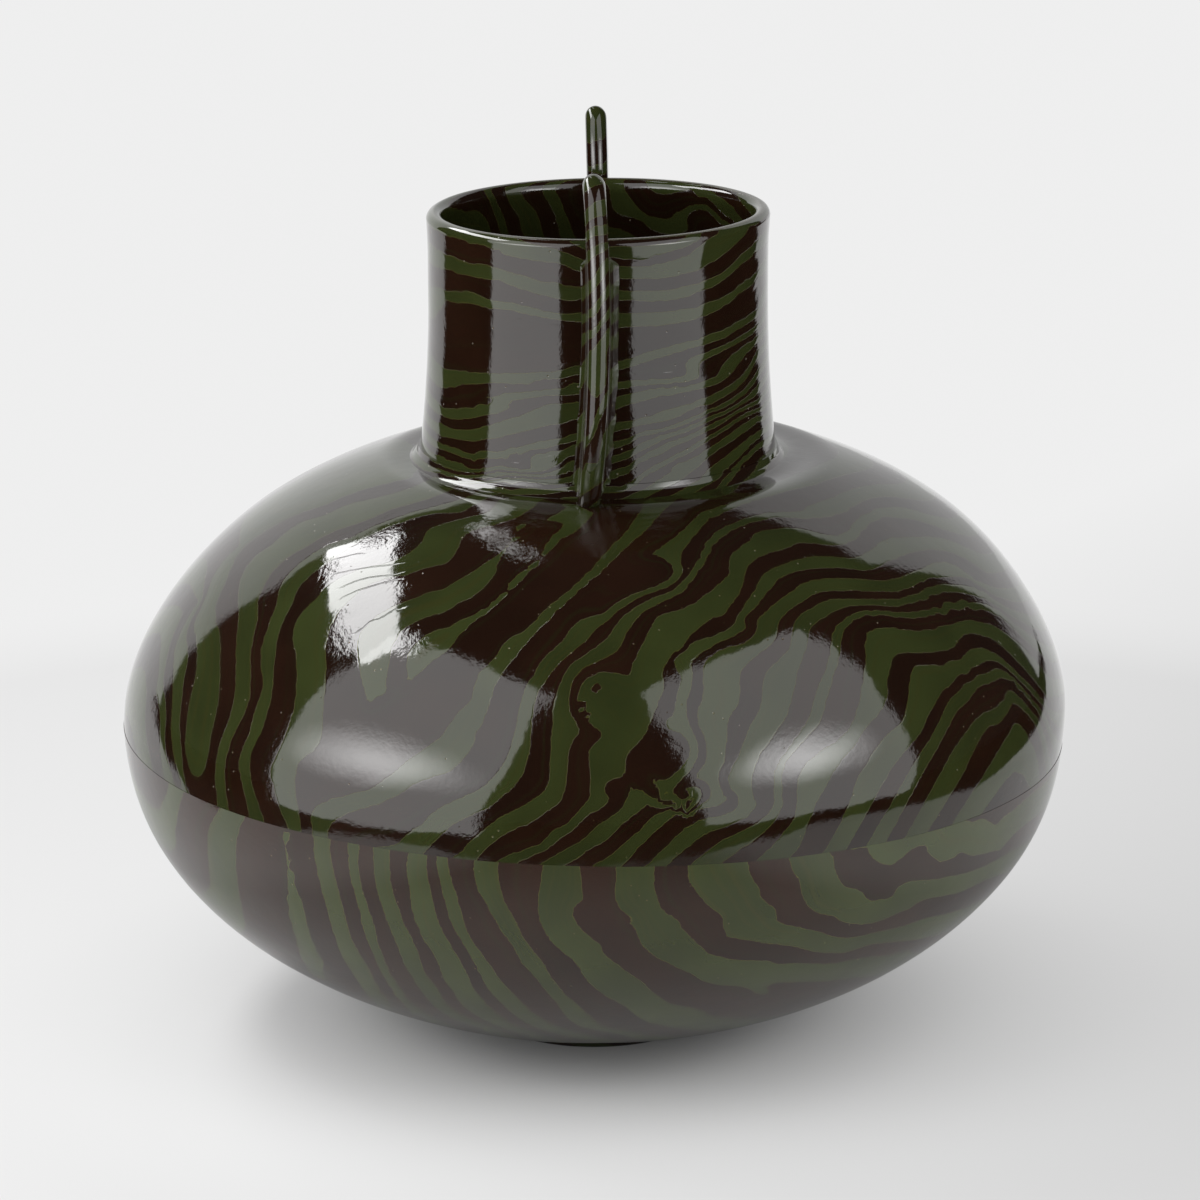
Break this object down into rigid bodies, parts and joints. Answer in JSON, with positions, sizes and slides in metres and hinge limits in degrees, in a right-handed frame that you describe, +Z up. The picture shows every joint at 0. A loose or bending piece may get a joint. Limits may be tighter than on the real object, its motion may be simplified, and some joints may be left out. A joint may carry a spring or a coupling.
{
  "type": "vase",
  "caption": "Round-bellied flower vase of glossy marbled clay, with a short waisted neck, a round lip and upright fins before and behind the neck.",
  "frame": {"origin": "on the floor, under the middle of the belly", "axes": "+Z up through the neck; the fins stand in front of the neck at -Y and behind it at +Y; +X to the right as seen from the front"},
  "size_m": [0.3301, 0.33, 0.3155],
  "materials": {
    "lower_shell_clay": "olive green and very dark brown clays marbled in long ragged stripes, under a clear glossy glaze",
    "upper_shell_clay": "olive green and very dark brown clays marbled in long ragged stripes, under a clear glossy glaze",
    "neck_clay": "the same marbled clays in near-level bands, under a clear glossy glaze",
    "fin_clay": "the same marbled clays in slanting stripes, under a clear glossy glaze",
    "inside_clay": "marbled clay under a thin clear glaze",
    "foot_clay": "dark marbled clay, glazed down to a wiped standing face"
  },
  "bodies": {
    "root": {"foot_ring": "foot_clay", "lower_shell": "lower_shell_clay", "upper_shell": "upper_shell_clay", "inner_seam_coil": "inside_clay", "neck": "neck_clay", "neck_root_coil": "neck_clay", "front_fin": "fin_clay", "rear_fin": "fin_clay"}
  },
  "joints": []
}
